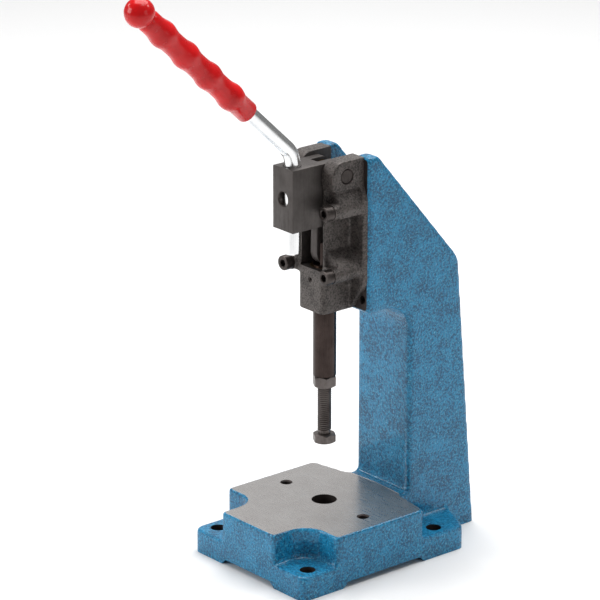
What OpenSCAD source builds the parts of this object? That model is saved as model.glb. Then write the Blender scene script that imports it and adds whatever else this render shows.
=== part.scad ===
// Bench toggle press: a C-shaped casting carries a guide head, a hand lever and toggle
// link push a round ram down over a machined table.
// Axes: Z up, X across, Y to the rear. The origin is on the bench under the ram's axis.

/* [Base] */
// Width of the base across the fixing lugs
base_width = 147; // [130:1:180]
// Ram axis to the front edge of the base
base_front = 86; // [78:1:110]
// Height of the machined table above the bench
table_height = 48; // [40:1:60]
// Thickness of the four fixing lugs
lug_height = 21; // [14:1:26]
// Distance between the bench bolts across the press
bolt_pitch_x = 120; // [110:1:122]
// Distance between the bench bolts front to rear
bolt_pitch_y = 143; // [138:1:150]
// Bench bolt holes
bolt_hole_d = 13.5; // [9:0.5:14]
// Bore in the middle of the table
table_bore_d = 22; // [12:0.5:30]
// Distance between the two tapped holes in the table
table_tap_pitch = 102; // [80:1:110]
// Tapped holes in the table
table_tap_d = 10; // [6:1:12]
// Height of the relief between the feet
foot_relief = 5; // [2:0.5:8]

/* [Column] */
// Width of the column across its two walls
column_width = 69; // [64:1:76]
// Thickness of each side wall of the column
column_wall = 16; // [15:0.5:20]
// Thickness of the web that joins the side walls along the throat
column_web = 14; // [10:1:20]
// Ram axis to the throat wall
throat_depth = 67; // [60:1:90]
// Table to the underside of the nose
throat_height = 173.5; // [140:0.5:220]
// Radius in the top corner of the throat
throat_radius = 26; // [15:1:32]
// Depth of the column front to rear where it stands on the bench
column_foot = 78; // [70:1:100]

/* [Head] */
// Ram axis to the face that the head is bolted to
face_offset = 18.6; // [17:0.2:24]
// Width of the guide housing
housing_width = 33; // [33:0.5:38]
// Length of the ram guide
guide_length = 38; // [34:1:48]
// Width over the two ears that hold the lever pin
ear_width = 57; // [52:1:60]
// Distance between rows of tapped holes in the mounting face
row_pitch = 28; // [28:1:30]
// Thickness of the head's mounting flange
flange = 5; // [4:0.5:7]

/* [Toggle] */
// Distance from the lever pin to the upper link pin
crank = 30; // [26:1:32]
// Distance between the two holes of the toggle link
link_length = 40; // [38:1:48]
// Thickness of the toggle link
link_thickness = 8.4; // [6:0.2:9]
// Diameter of the ram
ram_d = 20; // [18:1:22]
// Diameter of the lever pin
lever_pin_d = 12; // [10:1:14]
// Diameter of the two link pins
link_pin_d = 8; // [6:1:9]

/* [Lever] */
// Width of the lever block
lever_width = 26; // [24:0.5:28]
// Lever pin to the front face of the lever block
lever_reach = 46; // [44:1:56]
// Lever pin to the underside of the lever block
lever_drop = 44.6; // [43:0.2:54]
// Diameter of the handle rod
rod_d = 14; // [10:1:15]
// Angle that the rod is bent through towards the operator
rod_bend = 47; // [20:1:70]
// Length of the straight part of the rod that shows below the grip
rod_reach = 56; // [40:1:90]
// Length of the grip
grip_length = 162; // [120:1:200]
// Diameter of the grip at its ridges
grip_d = 23.4; // [22:0.2:26]

/* [Spindle] */
// Thread of the spindle screw
spindle_d = 12; // [8:1:14]
// Ram end to the underside of the spindle head
spindle_reach = 60.5; // [40:0.5:65]
// Ram end to the underside of the guide housing
ram_reach = 61.5; // [50:0.5:66]

/* [Hidden] */
$fn = 64;
turned = 96;                          // sides of the large bores
running = 0.03;                       // radial clearance of a running fit
side_gap = 0.3;                       // clearance beside a link or a fork
eps = 0.05;

// Heights
nose_z = table_height + throat_height;
guide_z0 = nose_z + 2.5;
guide_z1 = guide_z0 + guide_length;
ram_pin_z = guide_z1 + 14;
pivot_z = ram_pin_z + link_length + crank;
ear_r = 13.5;
head_top = pivot_z + ear_r;
frame_top = head_top;
row_z = nose_z + 12;
low_row = row_z + row_pitch;
high_row = row_z + 3 * row_pitch;

// Column
wall_x = column_width / 2 - column_wall;
screw_x = column_width / 2 - column_wall / 2;
column_back = throat_depth + column_foot;
column_lean = 0.0886;
knee_z = nose_z + 29.5;
knee_y = column_back - column_lean * knee_z;
crown_y = face_offset + 11.5;

// Base
base_rear = 96;
base_tail = 115;
table_rear = 50;
table_root = 57;
throat_foot = 3;
lug_corner = 9;
notch_x = 35;
notch_y = 48;
notch_r = 22;
bolt_y = 2;
relief_x = 30;
relief_front = -36;
relief_rear = 46;
relief_slope = 5;
pad_wall = 12;

// Screws: head height, head diameter, shank, socket width across corners
screw_d = 8;
screw_head_d = 13;
screw_head_h = 8;
socket_d = 6.93;
screw_hold = 18;
screw_clear = 0.3;
tap_depth = 24;

// Head
lever_gap = 0.8;
cheek_x = lever_width / 2 + lever_gap;
cheek_front = -14;
housing_front = -16;
boss_front = -16.4;
boss_r = 7;
ear_front = -15.5;
ear_foot = pivot_z - 12;
shoulder_x = 24;
shoulder_z = high_row - 8;
web_top = pivot_z - 17;
bush_wall = 2.5;
bush_length = 15;
key_d = 5;
key_z = guide_z0 + 28;
key_length = 3.4;

// Toggle
fork_floor = 13;
link_foot_r = 12.3;
link_head_r = 11;
ram_fork = 8.5;
link_slot = link_thickness + 2 * side_gap;
lever_bush_wall = 1.5;
link_bush_wall = 1.5;
head_pin_d = link_pin_d + 2;
slack = 0.5;
lever_pin_length = ear_width - 1;
open_angle = 70;
lift_error = 8.5;

// Lever
tine_r = 10;
slot_front = -14.2;
slot_lip = -12.2;
lip_z = pivot_z + 5;
rod_y = -lever_reach + 10.3;
rod_stub = 21.8;
bend_r = 21;
bend_z = pivot_z + tine_r + 1;
clamp_z = pivot_z - 17;
clamp_d = 12;
clamp_stub = 11;
joint_lap = 0.5;
bend_swell = 0.06;                    // the bend is a hair thicker than the straight rod
grip_collar = 18;
grip_collar_r = 9.5;
grip_valley_r = 9.9;
grip_ball_r = 12.6;
grip_ridges = 4;

// Spindle
ram_z0 = guide_z0 - ram_reach;
ram_z1 = ram_pin_z + ram_fork;
spindle_z0 = ram_z0 - spindle_reach;
spindle_head = 7.5;
nut_height = 9.6;
hex_d = 1.5 * spindle_d / cos(30);
spindle_hold = 27;
spindle_travel = 42;

// Outlines: each corner is [x, y, radius], and a radius becomes an arc
function unit(v) = v / norm(v);
function flat(p) = [p[0], p[1]];
function corner(a, b, c, r, n) =
    r <= 0 ? [b] :
    let (u = unit(a - b), v = unit(c - b), half = acos(u * v) / 2)
    let (reach = r / tan(half), centre = b + unit(u + v) * r / sin(half))
    let (p = b + u * reach - centre, q = b + v * reach - centre)
    let (sweep = sign(p[0] * q[1] - p[1] * q[0]) * (180 - 2 * half))
    let (start = atan2(p[1], p[0]))
    [for (i = [0:n]) centre + r * [cos(start + sweep * i / n), sin(start + sweep * i / n)]];
function outline(points, n = 7) =
    let (last = len(points) - 1)
    [for (i = [0:last])
        each corner(flat(points[i == 0 ? last : i - 1]), flat(points[i]),
            flat(points[i == last ? 0 : i + 1]), points[i][2], n)];
function mirrored(points) =
    concat(points, [for (i = [len(points) - 1:-1:0]) [-points[i][0], points[i][1], points[i][2]]]);

// A plate whose outline is given in Y and Z, between two places along X
module side_plate(points, x0, x1) {
    translate([x0, 0, 0])
        rotate([90, 0, 90])
            linear_extrude(x1 - x0)
                polygon(outline(points));
}

// A plate whose outline is given in X and Z, between two places along Y
module front_plate(points, y0, y1) {
    translate([0, y1, 0])
        rotate([90, 0, 0])
            linear_extrude(y1 - y0)
                polygon(outline(points));
}

module bar_x(r, x0, x1, y, z) {
    translate([x0, y, z])
        rotate([0, 90, 0])
            cylinder(r = r, h = x1 - x0);
}

module bar_y(r, y0, y1, x, z) {
    translate([x, y0, z])
        rotate([-90, 0, 0])
            cylinder(r = r, h = y1 - y0);
}

module both_sides() {
    children();
    mirror([1, 0, 0])
        children();
}

module block(low, high) {
    translate(low)
        cube(high - low);
}

// Base and column in one casting
module base_plan() {
    polygon(outline(mirrored([
        [base_width / 2, -base_front, lug_corner],
        [base_width / 2, base_rear, lug_corner],
        [column_width / 2 - 1, base_tail, 0]])));
}

module table_plan() {
    polygon(outline(mirrored([
        [notch_x, -base_front, 5],
        [notch_x, -notch_y, notch_r],
        [base_width / 2, -notch_y, 5],
        [base_width / 2, table_rear, 5],
        [column_width / 2, table_root, 0]])));
}

module column_solid() {
    side_plate([
        [face_offset, nose_z, 4],
        [face_offset, frame_top, 3],
        [crown_y, frame_top, 6],
        [knee_y, knee_z, 20],
        [column_back, 0, 0],
        [table_root - 2, 0, 0],
        [table_root - 2, table_height, 0],
        [throat_depth, table_height, throat_foot],
        [throat_depth, nose_z, throat_radius]],
        -column_width / 2, column_width / 2);
}

module column_hollow() {
    inner_y = throat_depth + column_web;
    inner_z = nose_z + column_web;
    side_plate([
        [face_offset - 5, inner_z, 0],
        [inner_y, inner_z, throat_radius - column_web],
        [inner_y, lug_height, 6],
        [column_back + 5, lug_height, 0],
        [column_back + 5, frame_top + 5, 0],
        [face_offset - 5, frame_top + 5, 0]],
        -wall_x, wall_x);
}

// Relief between the feet, round a pad under the table bore
module underside_relief() {
    difference() {
        union() {
            front_plate([
                [-relief_x - relief_slope, -1, 0],
                [-relief_x, foot_relief, 0],
                [relief_x, foot_relief, 0],
                [relief_x + relief_slope, -1, 0]],
                -base_front - 1, base_tail - 20);
            side_plate([
                [relief_front - relief_slope, -1, 0],
                [relief_front, foot_relief, 0],
                [relief_rear, foot_relief, 0],
                [relief_rear + relief_slope, -1, 0]],
                -base_width, base_width);
        }
        translate([0, 0, -2])
            cylinder(r = table_bore_d / 2 + pad_wall, h = foot_relief + 4, $fn = turned);
    }
}

module bench_holes() {
    for (x = [-1, 1], y = [-1, 1])
        translate([x * bolt_pitch_x / 2, bolt_y + y * bolt_pitch_y / 2, -1])
            cylinder(d = bolt_hole_d, h = lug_height + 2);
}

module frame_casting() {
    color("steelblue")
    difference() {
        union() {
            linear_extrude(lug_height)
                base_plan();
            linear_extrude(table_height)
                table_plan();
            column_solid();
        }
        column_hollow();
        underside_relief();
        bench_holes();
        translate([0, 0, -1])
            cylinder(d = table_bore_d, h = table_height + 2, $fn = turned);
        for (x = [-1, 1])
            translate([x * table_tap_pitch / 2, 0, table_height - tap_depth])
                cylinder(d = table_tap_d, h = tap_depth + 1);
        for (x = [-1, 1], row = [0:3])
            bar_y(screw_d / 2, face_offset - 1, face_offset + tap_depth,
                x * screw_x, row_z + row * row_pitch);
    }
}

// Head
module flange_plate() {
    front_plate(mirrored([
        [housing_width / 2, guide_z0, 0],
        [screw_x + boss_r, low_row - 14, 14],
        [screw_x + boss_r, high_row + 6, 8],
        [ear_width / 2, ear_foot + 2, 8],
        [ear_width / 2, head_top, 4]]),
        face_offset - flange, face_offset);
}

module guide_housing() {
    translate([0, 0, guide_z0])
        linear_extrude(guide_length)
            polygon(outline(mirrored([
                [housing_width / 2, housing_front, 4],
                [housing_width / 2, face_offset, 0]])));
}

module cheeks() {
    both_sides() {
        side_plate([
            [cheek_front, guide_z1 - 2, 0],
            [cheek_front, pivot_z, 2],
            [face_offset, pivot_z, 0],
            [face_offset, guide_z1 - 2, 0]],
            cheek_x, housing_width / 2);
        side_plate([
            [cheek_front, shoulder_z, 3],
            [cheek_front, pivot_z - 4, 0],
            [face_offset, pivot_z - 4, 0],
            [face_offset, shoulder_z, 0]],
            cheek_x, shoulder_x);
        side_plate([
            [ear_front, ear_foot, 4],
            [ear_front, head_top, 12.5],
            [face_offset, head_top, 0],
            [face_offset, ear_foot, 0]],
            cheek_x, ear_width / 2);
    }
}

module screw_bosses() {
    for (z = [low_row, high_row])
        both_sides() {
            bar_y(boss_r, boss_front, face_offset, screw_x, z);
            block([cheek_x + 1, boss_front + 1, z - boss_r + 1],
                [screw_x, face_offset, z + boss_r - 1]);
        }
}

module head_body() {
    bush_r = ram_d / 2 + running + bush_wall;
    color("dimgray")
    difference() {
        union() {
            flange_plate();
            guide_housing();
            cheeks();
            screw_bosses();
        }
        block([-cheek_x, face_offset - flange - eps, web_top],
            [cheek_x, face_offset + 1, head_top + 1]);
        block([-cheek_x, -30, guide_z1],
            [cheek_x, face_offset - flange, head_top + 1]);
        translate([0, 0, guide_z0 - 1])
            cylinder(r = bush_r, h = guide_length + 2, $fn = turned);
        bar_x(lever_pin_d / 2, -ear_width, ear_width, 0, pivot_z);
        for (x = [-1, 1], z = [low_row, high_row])
            bar_y(screw_d / 2 + screw_clear, boss_front - 1, face_offset + 1, x * screw_x, z);
        bar_y(key_d / 2, housing_front - 1, 0, 0, key_z);
    }
}

module guide_bush(z) {
    color("goldenrod")
    translate([0, 0, z])
        difference() {
            cylinder(r = ram_d / 2 + running + bush_wall, h = bush_length, $fn = turned);
            translate([0, 0, -1])
                cylinder(r = ram_d / 2 + running, h = bush_length + 2, $fn = turned);
        }
}

module guide_bush_lower() {
    guide_bush(guide_z0);
}

module guide_bush_upper() {
    guide_bush(guide_z1 - bush_length);
}

// Socket head cap screws through the bosses into the column walls
module head_screw(i) {
    side = i % 2 == 1 ? 1 : -1;
    z = i < 3 ? low_row : high_row;
    color("silver")
    difference() {
        union() {
            bar_y(screw_head_d / 2, boss_front - screw_head_h, boss_front, side * screw_x, z);
            bar_y(screw_d / 2, boss_front - 1, face_offset + screw_hold, side * screw_x, z);
        }
        translate([side * screw_x, boss_front - screw_head_h - 1, z])
            rotate([-90, 0, 0])
                cylinder(d = socket_d, h = 5, $fn = 6);
    }
}

// Guide screw that keys the ram
module key_screw() {
    bush_r = ram_d / 2 + running + bush_wall;
    color("black")
    difference() {
        bar_y(key_d / 2, -bush_r - key_length + 0.4, -bush_r + 0.4 - 0.5, 0, key_z);
        translate([0, -bush_r - key_length - 0.6, key_z])
            rotate([-90, 0, 0])
                cylinder(d = 2.9, h = 2, $fn = 6);
    }
}

// Lever, its pin and its bushes
module lever_pin() {
    color("gray")
    bar_x(lever_pin_d / 2, -lever_pin_length / 2, lever_pin_length / 2, 0, pivot_z);
}

module lever_bush(side) {
    bore = lever_pin_d / 2 + running;
    x0 = link_slot / 2;
    x1 = lever_width / 2;
    color("goldenrod")
    difference() {
        bar_x(bore + lever_bush_wall, side > 0 ? x0 : -x1, side > 0 ? x1 : -x0, 0, pivot_z);
        bar_x(bore, -lever_width, lever_width, 0, pivot_z);
    }
}

module lever_bush_left() {
    lever_bush(-1);
}

module lever_bush_right() {
    lever_bush(1);
}

// Pocket in each fork arm that the upper link pin works in
module pin_pocket() {
    r = head_pin_d / 2 + slack;
    depth = link_slot / 2 + 5.3;
    block([-depth, -3.2 - r, pivot_z - crank - r], [depth, r, pivot_z - crank + lift_error + r]);
}

module lever_block() {
    floor_z = pivot_z - lever_drop;
    color("dimgray")
    difference() {
        side_plate([
            [-lever_reach, floor_z, 0.8],
            [-lever_reach, pivot_z + tine_r, 0.8],
            [tine_r, pivot_z + tine_r, tine_r - 0.5],
            [tine_r, floor_z, 4]],
            -lever_width / 2, lever_width / 2);
        block([-link_slot / 2, slot_front, floor_z - 1], [link_slot / 2, tine_r + 1, lip_z]);
        block([-link_slot / 2, slot_lip, lip_z - 1], [link_slot / 2, tine_r + 1, pivot_z + tine_r + 1]);
        pin_pocket();
        bar_x(lever_pin_d / 2 + running + lever_bush_wall, -lever_width, lever_width, 0, pivot_z);
        translate([0, rod_y, floor_z - 1])
            cylinder(d = rod_d + 2 * running, h = lever_drop + tine_r + 2);
        bar_y(clamp_d / 2, -lever_reach - 1, rod_y, 0, clamp_z);
    }
}

module clamp_screw() {
    tip = rod_y - rod_d / 2 - 0.05;
    color("black")
    difference() {
        bar_y(clamp_d / 2, -lever_reach - clamp_stub, tip, 0, clamp_z);
        translate([0, -lever_reach - clamp_stub - 1, clamp_z])
            rotate([-90, 0, 0])
                cylinder(d = socket_d, h = 7, $fn = 6);
    }
}

// Handle: everything past the bend lies along its bent axis
module along_bend() {
    translate([0, rod_y - bend_r, bend_z])
        rotate([rod_bend, 0, 0])
            translate([0, bend_r, 0])
                children();
}

module handle_rod() {
    color("silver") {
        translate([0, rod_y, pivot_z - lever_drop - rod_stub])
            cylinder(d = rod_d, h = bend_z - pivot_z + lever_drop + rod_stub + joint_lap);
        translate([0, rod_y - bend_r, bend_z])
            rotate([90, 0, 90])
                rotate_extrude(angle = rod_bend)
                    translate([bend_r, 0])
                        circle(d = rod_d + bend_swell);
        along_bend()
            translate([0, 0, -joint_lap])
                cylinder(d = rod_d, h = joint_lap + rod_reach + grip_length * 0.75);
    }
}

// Radius of the grip at a distance from its collar: even ridges with wide hollows
function ridge_r(s) =
    let (pitch = (grip_length - grip_collar - grip_ball_r) / (grip_ridges + 0.22))
    let (wave = (1 - cos(360 * (s - grip_collar + 0.28 * pitch) / pitch)) / 2)
    grip_valley_r + (grip_d / 2 - grip_valley_r) * wave * wave;

module handle_grip() {
    ball_s = grip_length - grip_ball_r;
    meet = 50;
    ridge_end = ball_s - grip_ball_r * sin(meet);
    color("red")
    along_bend()
        translate([0, 0, rod_reach])
            difference() {
                rotate_extrude($fn = turned)
                    polygon(concat(
                        [[0, 0], [grip_collar_r - 0.6, 0], [grip_collar_r, 0.6]],
                        [[grip_collar_r, grip_collar - 1]],
                        [for (s = [grip_collar:2.5:ridge_end - 1]) [ridge_r(s), s]],
                        [for (a = [-meet + 8:8:82])
                            [grip_ball_r * cos(a), ball_s + grip_ball_r * sin(a)]],
                        [[0, grip_length]]));
                translate([0, 0, -1])
                    cylinder(d = rod_d, h = grip_length * 0.75 + 1);
            }
}

// Toggle link: two eyes joined by their common tangents
module link_outline() {
    tilt = asin((link_foot_r - link_head_r) / link_length);
    circle(r = link_foot_r, $fn = turned);
    translate([0, link_length])
        circle(r = link_head_r, $fn = turned);
    polygon([
        [link_foot_r * cos(tilt), link_foot_r * sin(tilt)],
        [link_head_r * cos(tilt), link_length + link_head_r * sin(tilt)],
        [-link_head_r * cos(tilt), link_length + link_head_r * sin(tilt)],
        [-link_foot_r * cos(tilt), link_foot_r * sin(tilt)]]);
}

module toggle_link() {
    color("dimgray")
    difference() {
        translate([-link_thickness / 2, 0, ram_pin_z])
            rotate([90, 0, 90])
                linear_extrude(link_thickness)
                    link_outline();
        bar_x(link_pin_d / 2 + running + link_bush_wall, -20, 20, 0, ram_pin_z);
        bar_x(head_pin_d / 2, -20, 20, 0, ram_pin_z + link_length);
    }
}

module link_bush() {
    bore = link_pin_d / 2 + running;
    color("goldenrod")
    difference() {
        bar_x(bore + link_bush_wall, -link_thickness / 2, link_thickness / 2, 0, ram_pin_z);
        bar_x(bore, -20, 20, 0, ram_pin_z);
    }
}

module link_pin_upper() {
    half = link_slot / 2 + 4.8;
    color("gray")
    bar_x(head_pin_d / 2, -half, half, 0, ram_pin_z + link_length);
}

module link_pin_lower() {
    half = ram_d / 2 - 1.2;
    color("gray")
    bar_x(link_pin_d / 2, -half, half, 0, ram_pin_z);
}

// Ram with a fork at its top and a tapped end
module ram() {
    color("silver")
    difference() {
        translate([0, 0, ram_z0])
            cylinder(d = ram_d, h = ram_z1 - ram_z0, $fn = turned);
        block([-link_slot / 2, -ram_d, ram_pin_z - fork_floor], [link_slot / 2, ram_d, ram_z1 + 1]);
        bar_x(link_pin_d / 2, -ram_d, ram_d, 0, ram_pin_z);
        translate([0, 0, ram_z0 - 1])
            cylinder(d = spindle_d + 2 * running, h = spindle_hold + spindle_travel + 1);
    }
}

module spindle_screw() {
    color("dimgray") {
        translate([0, 0, spindle_z0])
            cylinder(d = hex_d, h = spindle_head, $fn = 6);
        translate([0, 0, spindle_z0 + 1])
            cylinder(d = spindle_d, h = spindle_reach + spindle_hold - 1);
    }
}

module lock_nut() {
    color("dimgray")
    translate([0, 0, ram_z0 - nut_height])
        difference() {
            cylinder(d = hex_d, h = nut_height, $fn = 6);
            translate([0, 0, -1])
                cylinder(d = spindle_d + 2 * running, h = nut_height + 2);
        }
}

frame_casting();
head_body();
guide_bush_lower();
guide_bush_upper();
head_screw(1);  // head_screw_1
head_screw(2);  // head_screw_2
head_screw(3);  // head_screw_3
head_screw(4);  // head_screw_4
key_screw();
lever_pin();
lever_bush_left();
lever_bush_right();
lever_block();
clamp_screw();
handle_rod();
handle_grip();
toggle_link();
link_pin_upper();
link_pin_lower();
link_bush();
ram();
spindle_screw();
lock_nut();
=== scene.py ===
import math
import bpy
import bmesh
from mathutils import Matrix, Vector


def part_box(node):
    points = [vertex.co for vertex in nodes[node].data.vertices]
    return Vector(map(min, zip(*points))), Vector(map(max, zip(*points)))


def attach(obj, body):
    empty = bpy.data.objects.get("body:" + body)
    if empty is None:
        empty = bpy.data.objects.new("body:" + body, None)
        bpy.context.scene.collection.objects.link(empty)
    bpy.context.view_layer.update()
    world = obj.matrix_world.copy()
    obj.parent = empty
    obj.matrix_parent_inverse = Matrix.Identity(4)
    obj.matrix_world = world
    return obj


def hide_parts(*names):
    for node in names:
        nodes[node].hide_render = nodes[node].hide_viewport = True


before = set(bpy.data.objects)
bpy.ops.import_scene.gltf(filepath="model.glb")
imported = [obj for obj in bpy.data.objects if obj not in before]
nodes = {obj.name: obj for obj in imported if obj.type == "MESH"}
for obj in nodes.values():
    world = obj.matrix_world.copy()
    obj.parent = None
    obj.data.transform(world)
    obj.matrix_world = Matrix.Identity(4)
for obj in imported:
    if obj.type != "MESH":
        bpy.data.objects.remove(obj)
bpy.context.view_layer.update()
print("frame loaded")


# shapes are built in millimetres, and finishPiece brings them to metres
def lowHigh(node):
    low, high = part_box(node)
    return [v * 1000 for v in low], [v * 1000 for v in high]


def join(shape, part):
    mesh = bpy.data.meshes.new("part")
    part.to_mesh(mesh)
    part.free()
    shape.from_mesh(mesh)
    bpy.data.meshes.remove(mesh)
    return shape


def facing(part):
    bmesh.ops.remove_doubles(part, verts=part.verts[:], dist=0.0005)
    bmesh.ops.recalc_face_normals(part, faces=part.faces[:])


def roundCorners(part, points, corners, segments):
    for i, (x, y, radius) in enumerate(corners):
        if radius <= 0:
            continue
        here = Vector((x, y))
        before = Vector(corners[i - 1][:2]) - here
        after = Vector(corners[(i + 1) % len(corners)][:2]) - here
        reach = radius / math.tan(before.angle(after) / 2)
        bmesh.ops.bevel(part, geom=[points[i]], offset=reach, offset_type="OFFSET", affect="VERTICES",
                        segments=segments, profile=0.5, material=-1, clamp_overlap=False)


def plate(corners, axis, low, high, segments=7, bothSides=False):
    # corners are (across, up, radius) on the plane that the axis stands on
    part = bmesh.new()
    points = [part.verts.new((x, y, 0)) for x, y, radius in corners]
    part.faces.new(points)
    roundCorners(part, points, corners, segments)
    grown = bmesh.ops.extrude_face_region(part, geom=part.faces[:])
    top = [v for v in grown["geom"] if isinstance(v, bmesh.types.BMVert)]
    bmesh.ops.translate(part, verts=top, vec=(0, 0, high - low))
    bmesh.ops.translate(part, verts=part.verts[:], vec=(0, 0, low))
    turn = {"Z": Matrix.Identity(4),
            "X": Matrix(((0, 0, 1, 0), (1, 0, 0, 0), (0, 1, 0, 0), (0, 0, 0, 1))),
            "Y": Matrix(((1, 0, 0, 0), (0, 0, 1, 0), (0, 1, 0, 0), (0, 0, 0, 1)))}[axis]
    bmesh.ops.transform(part, matrix=turn, verts=part.verts[:])
    if bothSides:
        bmesh.ops.mirror(part, geom=part.verts[:] + part.edges[:] + part.faces[:], axis="X", merge_dist=0)
    facing(part)
    return part


def mirrored(corners):
    return corners + [(-x, y, radius) for x, y, radius in reversed(corners)]


def aimed(origin, axis):
    # a place whose own Z looks along the axis
    ways = {"Z": (0, 0, 1), "X": (1, 0, 0), "Y": (0, 1, 0)}
    turn = Vector(ways[axis]).to_track_quat("Z", "Y")
    return Matrix.Translation(origin) @ turn.to_matrix().to_4x4()


def lathe(profile, origin=(0, 0, 0), axis="Z", steps=96):
    # profile is (radius, distance along the axis)
    part = bmesh.new()
    points = [part.verts.new((radius, 0, along)) for radius, along in profile]
    lines = [part.edges.new(pair) for pair in zip(points, points[1:])]
    bmesh.ops.spin(part, geom=points + lines, cent=(0, 0, 0), axis=(0, 0, 1), angle=2 * math.pi,
                   steps=steps, use_merge=True)
    facing(part)
    bmesh.ops.transform(part, matrix=aimed(origin, axis), verts=part.verts[:])
    bmesh.ops.recalc_face_normals(part, faces=part.faces[:])
    return part


def bar(radius, low, high, origin, axis, chamfer=0.0, steps=64):
    return lathe([(0, low), (radius - chamfer, low), (radius, low + chamfer), (radius, high - chamfer),
                  (radius - chamfer, high), (0, high)], origin, axis, steps)


def hexBar(acrossFlats, low, high, origin, axis, turn=0.0):
    part = bmesh.new()
    bmesh.ops.create_cone(part, cap_ends=True, segments=6, radius1=acrossFlats / math.sqrt(3),
                          radius2=acrossFlats / math.sqrt(3), depth=high - low)
    bmesh.ops.translate(part, verts=part.verts[:], vec=(0, 0, (low + high) / 2))
    bmesh.ops.rotate(part, verts=part.verts[:], cent=(0, 0, 0), matrix=Matrix.Rotation(turn, 3, "Z"))
    bmesh.ops.transform(part, matrix=aimed(origin, axis), verts=part.verts[:])
    facing(part)
    return part


def block(low, high):
    part = bmesh.new()
    bmesh.ops.create_cube(part, size=1)
    bmesh.ops.scale(part, vec=[b - a for a, b in zip(low, high)], verts=part.verts[:])
    bmesh.ops.translate(part, vec=[(a + b) / 2 for a, b in zip(low, high)], verts=part.verts[:])
    return part


def softEdges(part, width, sharper):
    edges = [edge for edge in part.edges if edge.calc_face_angle(0) > math.radians(sharper)]
    bmesh.ops.bevel(part, geom=edges, offset=width, offset_type="OFFSET", affect="EDGES", segments=2,
                    profile=0.5, material=-1, clamp_overlap=True)
    return part


def helix(root, crest, pitch, low, high, steps=30):
    # one tooth is wound up the axis, then cut square at both ends
    part = bmesh.new()
    tooth = [(root, 0.0), (root, 0.14), (crest, 0.46), (crest, 0.60), (root, 0.92), (root, 1.0)]
    points = [part.verts.new((radius, 0, low - pitch + share * pitch)) for radius, share in tooth]
    lines = [part.edges.new(pair) for pair in zip(points, points[1:])]
    turns = math.ceil((high - low) / pitch) + 2
    bmesh.ops.spin(part, geom=points + lines, cent=(0, 0, 0), axis=(0, 0, 1), angle=2 * math.pi * turns,
                   dvec=(0, 0, pitch / steps), steps=steps * turns)
    bmesh.ops.remove_doubles(part, verts=part.verts[:], dist=0.001)
    for height, side in ((low, -1), (high, 1)):
        bmesh.ops.bisect_plane(part, geom=part.verts[:] + part.edges[:] + part.faces[:], dist=0.0001,
                               plane_co=(0, 0, height), plane_no=(0, 0, side), clear_outer=True)
    rims = [e for e in part.edges if e.is_boundary]
    bmesh.ops.holes_fill(part, edges=rims, sides=0)
    facing(part)
    return part


def thing(name, part, *materials):
    mesh = bpy.data.meshes.new(name)
    part.to_mesh(mesh)
    part.free()
    piece = bpy.data.objects.new(name, mesh)
    bpy.context.scene.collection.objects.link(piece)
    for material in materials:
        mesh.materials.append(material)
    return piece


def settle(piece):
    bpy.context.view_layer.update()
    graph = bpy.context.evaluated_depsgraph_get()
    mesh = bpy.data.meshes.new_from_object(piece.evaluated_get(graph))
    old = piece.data
    piece.modifiers.clear()
    piece.data = mesh
    bpy.data.meshes.remove(old)


def carve(piece, part, *material, how="DIFFERENCE"):
    # the cut faces take the tool's material
    tool = thing("tool", part, *material)
    step = piece.modifiers.new("carve", "BOOLEAN")
    step.operation = how
    step.solver = "EXACT"
    step.object = tool
    step.material_mode = "TRANSFER"
    settle(piece)
    mesh = tool.data
    bpy.data.objects.remove(tool)
    bpy.data.meshes.remove(mesh)


def castSkin(piece, voxel, rounds):
    # joins overlapping plates into one skin with cast roundings
    skin = piece.modifiers.new("skin", "REMESH")
    skin.mode = "VOXEL"
    skin.voxel_size = voxel
    skin.use_smooth_shade = True
    soft = piece.modifiers.new("soft", "SMOOTH")
    soft.factor = 0.5
    soft.iterations = rounds
    settle(piece)


def finishPiece(piece, body, slot, *replaced, sharp=32.0):
    shape = bmesh.new()
    shape.from_mesh(piece.data)
    bmesh.ops.scale(shape, vec=(0.001, 0.001, 0.001), verts=shape.verts[:])
    for face in shape.faces:
        face.smooth = True
    for edge in shape.edges:
        finishes = {face.material_index for face in edge.link_faces}
        edge.smooth = len(finishes) == 1 and edge.calc_face_angle(0) < math.radians(sharp)
    shape.to_mesh(piece.data)
    shape.free()
    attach(piece, body)
    if replaced:
        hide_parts(*replaced)
    print("made", piece.name, len(piece.data.polygons), "faces")
    return piece


# node groups that several finishes share
def newGroup(name, inputs, outputs):
    group = bpy.data.node_groups.new(name, "ShaderNodeTree")
    for label, kind, value in inputs:
        socket = group.interface.new_socket(name=label, in_out="INPUT", socket_type=kind)
        if value is not None:
            socket.default_value = value
    for label, kind in outputs:
        group.interface.new_socket(name=label, in_out="OUTPUT", socket_type=kind)
    return group, group.nodes.new("NodeGroupInput"), group.nodes.new("NodeGroupOutput")


def noiseNode(tree, where, scale, detail=3.0, roughness=0.5):
    node = tree.nodes.new("ShaderNodeTexNoise")
    node.inputs["Detail"].default_value = detail
    node.inputs["Roughness"].default_value = roughness
    if isinstance(scale, (int, float)):
        node.inputs["Scale"].default_value = scale
    else:
        tree.links.new(scale, node.inputs["Scale"])
    tree.links.new(where, node.inputs["Vector"])
    return node.outputs["Fac"]


def rangeNode(tree, value, fromLow, fromHigh, toLow, toHigh):
    node = tree.nodes.new("ShaderNodeMapRange")
    node.interpolation_type = "SMOOTHSTEP"
    limits = {"From Min": fromLow, "From Max": fromHigh, "To Min": toLow, "To Max": toHigh}
    for label, limit in limits.items():
        if isinstance(limit, (int, float)):
            node.inputs[label].default_value = limit
        else:
            tree.links.new(limit, node.inputs[label])
    tree.links.new(value, node.inputs["Value"])
    return node.outputs["Result"]


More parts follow.
